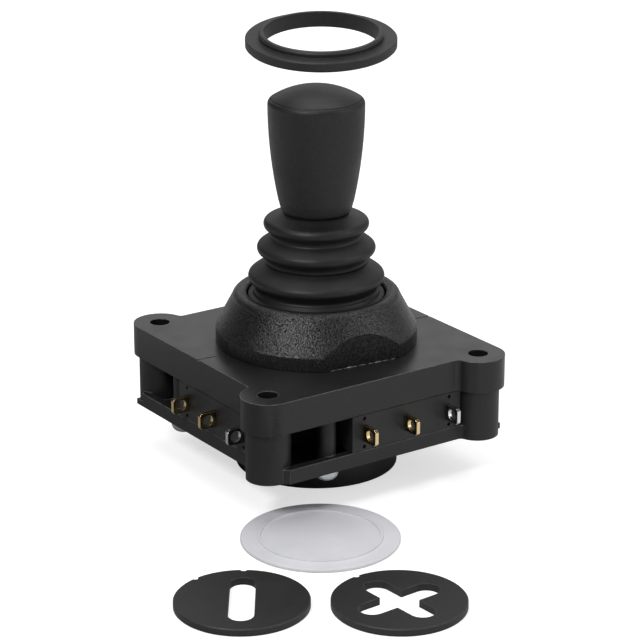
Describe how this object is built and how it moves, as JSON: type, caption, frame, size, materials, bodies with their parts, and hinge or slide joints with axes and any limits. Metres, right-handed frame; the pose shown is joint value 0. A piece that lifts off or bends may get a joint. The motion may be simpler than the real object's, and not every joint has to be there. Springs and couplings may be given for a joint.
{
  "type": "industrial joystick",
  "caption": "Panel joystick with a rubber boot, snap-action switches, a tapered grip, spare restrictor gates, a dust cover and a spare boot ring.",
  "frame": {"origin": "centre of the four mounting holes, on the face of the mounting plate", "axes": "+Z along the lever towards the grip; X and Y along the sides of the square of mounting holes"},
  "size_m": [0.0939, 0.1181, 0.0958],
  "materials": {
    "black_plastic": "moulded black plastic, fine satin texture",
    "textured_plastic": "black plastic with a coarse spark texture",
    "grip_plastic": "matt black plastic",
    "boot_rubber": "satin black rubber",
    "steel": "bright zinc plate",
    "brass": "bright brass",
    "tinned_brass": "tin plate",
    "nylon": "natural nylon",
    "clear_plastic": "thin translucent plastic"
  },
  "bodies": {
    "base": {"top_housing": "black_plastic", "lower_housing": "black_plastic", "gate_housing": "black_plastic", "dome": "textured_plastic", "boot": "boot_rubber", "spring_plate": "steel", "return_spring": "steel", "housing_screws": "steel", "front_switch_base": "textured_plastic", "right_switch_base": "textured_plastic", "back_switch_base": "textured_plastic", "left_switch_base": "textured_plastic", "front_switch_cover": "black_plastic", "right_switch_cover": "black_plastic", "back_switch_cover": "black_plastic", "left_switch_cover": "black_plastic", "brass_terminals": "brass", "tinned_terminals": "tinned_brass"},
    "gimbal": {"gimbal_ring": "steel", "gimbal_pins": "steel"},
    "lever": {"lever_shaft": "steel", "cross_pin": "steel", "pivot_sleeve": "textured_plastic", "actuator_ball": "nylon", "ball_clip": "steel", "spring_washer": "steel", "washer_clip": "steel", "tip_sleeve": "nylon", "grip": "grip_plastic", "grip_nut": "steel", "grip_cap": "grip_plastic"},
    "front_plunger_body": {"front_plunger": "nylon"},
    "right_plunger_body": {"right_plunger": "nylon"},
    "back_plunger_body": {"back_plunger": "nylon"},
    "left_plunger_body": {"left_plunger": "nylon"},
    "boot_ring_body": {"boot_ring": "black_plastic"},
    "dust_cover_body": {"dust_cover": "clear_plastic"},
    "slot_gate_body": {"slot_gate": "black_plastic"},
    "cross_gate_body": {"cross_gate": "black_plastic"}
  },
  "joints": [
    {"name": "tilt_x", "type": "hinge", "parent": "base", "child": "gimbal", "pos_m": [0, 0, -0.0046], "axis": [0.9951, 0.0993, 0], "range_deg": [-17, 17], "stiffness_Nm_per_rad": 0.6, "deforming": ["boot", "return_spring"]},
    {"name": "tilt_y", "type": "hinge", "parent": "gimbal", "child": "lever", "pos_m": [0, 0, -0.0046], "axis": [-0.0993, 0.9951, 0], "range_deg": [-17, 17], "stiffness_Nm_per_rad": 0.6, "deforming": ["boot", "return_spring"]},
    {"name": "front_plunger_slide", "type": "slide", "parent": "base", "child": "front_plunger_body", "axis": [0.0993, -0.9951, 0], "range_m": [-0.0018, 0.0018]},
    {"name": "right_plunger_slide", "type": "slide", "parent": "base", "child": "right_plunger_body", "axis": [0.9951, 0.0993, 0], "range_m": [-0.0018, 0.0018]},
    {"name": "back_plunger_slide", "type": "slide", "parent": "base", "child": "back_plunger_body", "axis": [-0.0993, 0.9951, 0], "range_m": [-0.0018, 0.0018]},
    {"name": "left_plunger_slide", "type": "slide", "parent": "base", "child": "left_plunger_body", "axis": [-0.9951, -0.0993, 0], "range_m": [-0.0018, 0.0018]},
    {"name": "boot_ring_lift", "type": "slide", "parent": "base", "child": "boot_ring_body", "axis": [0, 0, 1], "range_m": [0, 0.015]},
    {"name": "dust_cover_lift", "type": "slide", "parent": "base", "child": "dust_cover_body", "axis": [0, 0, 1], "range_m": [0, 0.005]},
    {"name": "slot_gate_lift", "type": "slide", "parent": "base", "child": "slot_gate_body", "axis": [0, 0, 1], "range_m": [0, 0.02]},
    {"name": "cross_gate_lift", "type": "slide", "parent": "base", "child": "cross_gate_body", "axis": [0, 0, 1], "range_m": [0, 0.02]}
  ],
  "couplings": [
    {"joint": "front_plunger_slide", "follows": "tilt_x", "m_per_rad": -0.0056},
    {"joint": "right_plunger_slide", "follows": "tilt_y", "m_per_rad": -0.0056},
    {"joint": "back_plunger_slide", "follows": "tilt_x", "m_per_rad": 0.0056},
    {"joint": "left_plunger_slide", "follows": "tilt_y", "m_per_rad": 0.0056}
  ]
}
